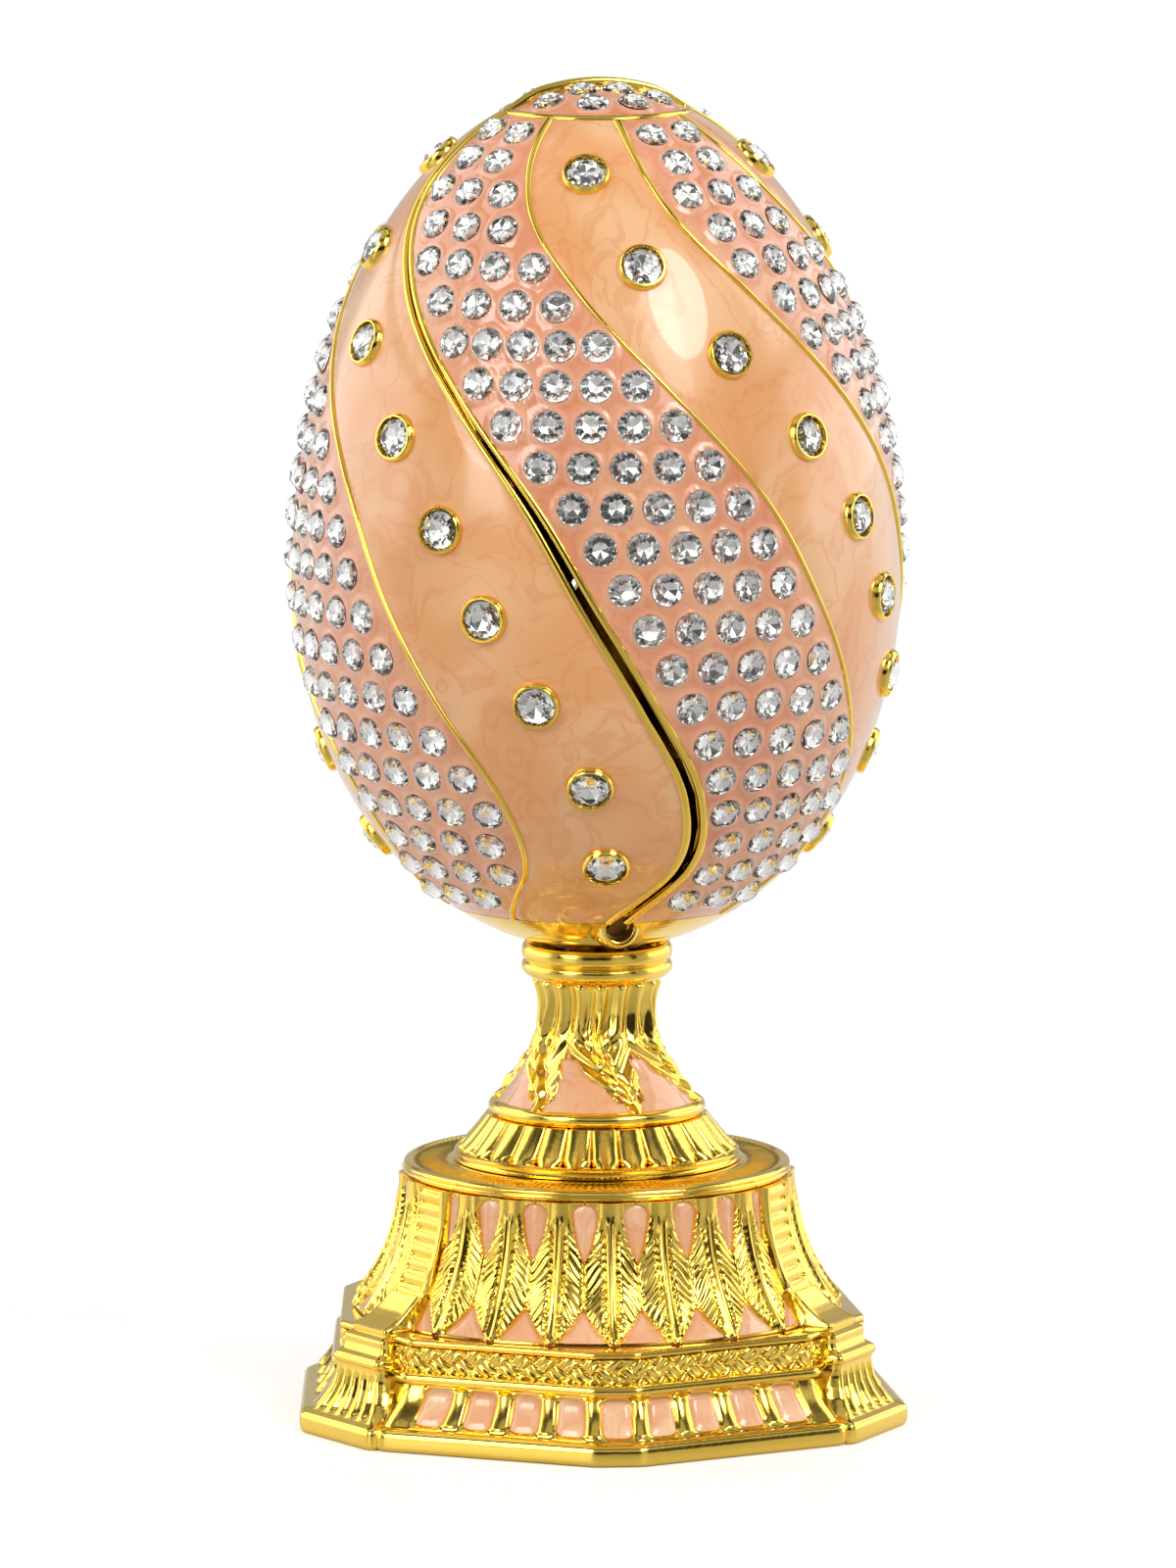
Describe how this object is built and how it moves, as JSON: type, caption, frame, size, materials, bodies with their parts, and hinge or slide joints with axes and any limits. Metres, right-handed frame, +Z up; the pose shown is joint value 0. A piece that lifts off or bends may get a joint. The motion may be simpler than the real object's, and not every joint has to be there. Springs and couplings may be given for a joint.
{
  "type": "decorative egg on stand",
  "caption": "Jewelled enamel egg that turns on a gilt three-sided musical stand and opens in two halves along an S-shaped seam.",
  "frame": {"origin": "centre of the underside of the stand", "axes": "+Z up, -Y out of the middle of one panel of the stand, +X to the right seen from there"},
  "size_m": [0.0756, 0.0766, 0.1623],
  "materials": {
    "gold_plate": "polished gold plate",
    "peach_enamel": "pearly swirled enamel",
    "rose_enamel": "pearly enamel",
    "stand_enamel": "pearly pink enamel",
    "clear_stone": "cut and polished",
    "plain_brass": "turned",
    "steel": "satin",
    "felt": "felt"
  },
  "bodies": {
    "stand": {"plinth_casting": "gold_plate", "plinth_window_enamel": "stand_enamel", "drum_cell_enamel": "stand_enamel", "gadroon_cone": "gold_plate", "stem_bead_ring": "gold_plate", "stem_casting": "gold_plate", "stem_enamel": "stand_enamel", "collar_ring": "gold_plate", "stem_tube": "plain_brass", "stem_tube_nut": "plain_brass", "upper_bush": "plain_brass", "lower_bush": "plain_brass", "movement_plate": "plain_brass", "movement_screws": "steel", "bearing_posts": "plain_brass", "music_comb": "steel", "comb_base": "plain_brass", "comb_screws": "steel", "governor_housing": "plain_brass", "bottom_plate": "gold_plate", "bottom_plate_screws": "steel", "felt_ring": "felt"},
    "rotor": {"spindle": "steel", "spring_barrel": "plain_brass", "barrel_cover": "plain_brass", "mainspring": "steel", "egg_carrier": "gold_plate", "carrier_screw": "steel", "egg_floor_plate": "gold_plate", "hinge_pins": "steel"},
    "cylinder": {"music_cylinder": "plain_brass", "cylinder_arbor": "steel"},
    "key": {"winding_key": "plain_brass", "winding_arbor": "steel"},
    "right_half": {"right_shell": "gold_plate", "right_rim_and_wires": "gold_plate", "right_field_enamel": "rose_enamel", "right_band_enamel": "peach_enamel", "right_stone_collets": "gold_plate", "right_band_stones": "clear_stone", "right_field_stones": "clear_stone", "right_cap_stones": "clear_stone"},
    "left_half": {"left_shell": "gold_plate", "left_rim_and_wires": "gold_plate", "left_field_enamel": "rose_enamel", "left_band_enamel": "peach_enamel", "left_stone_collets": "gold_plate", "left_band_stones": "clear_stone", "left_field_stones": "clear_stone", "left_cap_stones": "clear_stone"}
  },
  "joints": [
    {"name": "egg_turn", "type": "hinge", "parent": "stand", "child": "rotor", "pos_m": [0, 0, 0], "axis": [0, 0, 1], "continuous": true},
    {"name": "right_half_open", "type": "hinge", "parent": "rotor", "child": "right_half", "pos_m": [0, 0, 0.0616], "axis": [-0.0958, 0.9954, 0], "range_deg": [0, 40]},
    {"name": "left_half_open", "type": "hinge", "parent": "rotor", "child": "left_half", "pos_m": [0, 0, 0.0616], "axis": [0.0958, -0.9954, 0], "range_deg": [0, 40]},
    {"name": "cylinder_turn", "type": "hinge", "parent": "stand", "child": "cylinder", "pos_m": [0, 0, 0.01415], "axis": [0, -1, 0], "continuous": true},
    {"name": "key_wind", "type": "hinge", "parent": "stand", "child": "key", "pos_m": [0, 0, 0], "axis": [0, 0, 1], "continuous": true}
  ],
  "couplings": [
    {"joint": "cylinder_turn", "follows": "egg_turn", "ratio": 4.65}
  ]
}
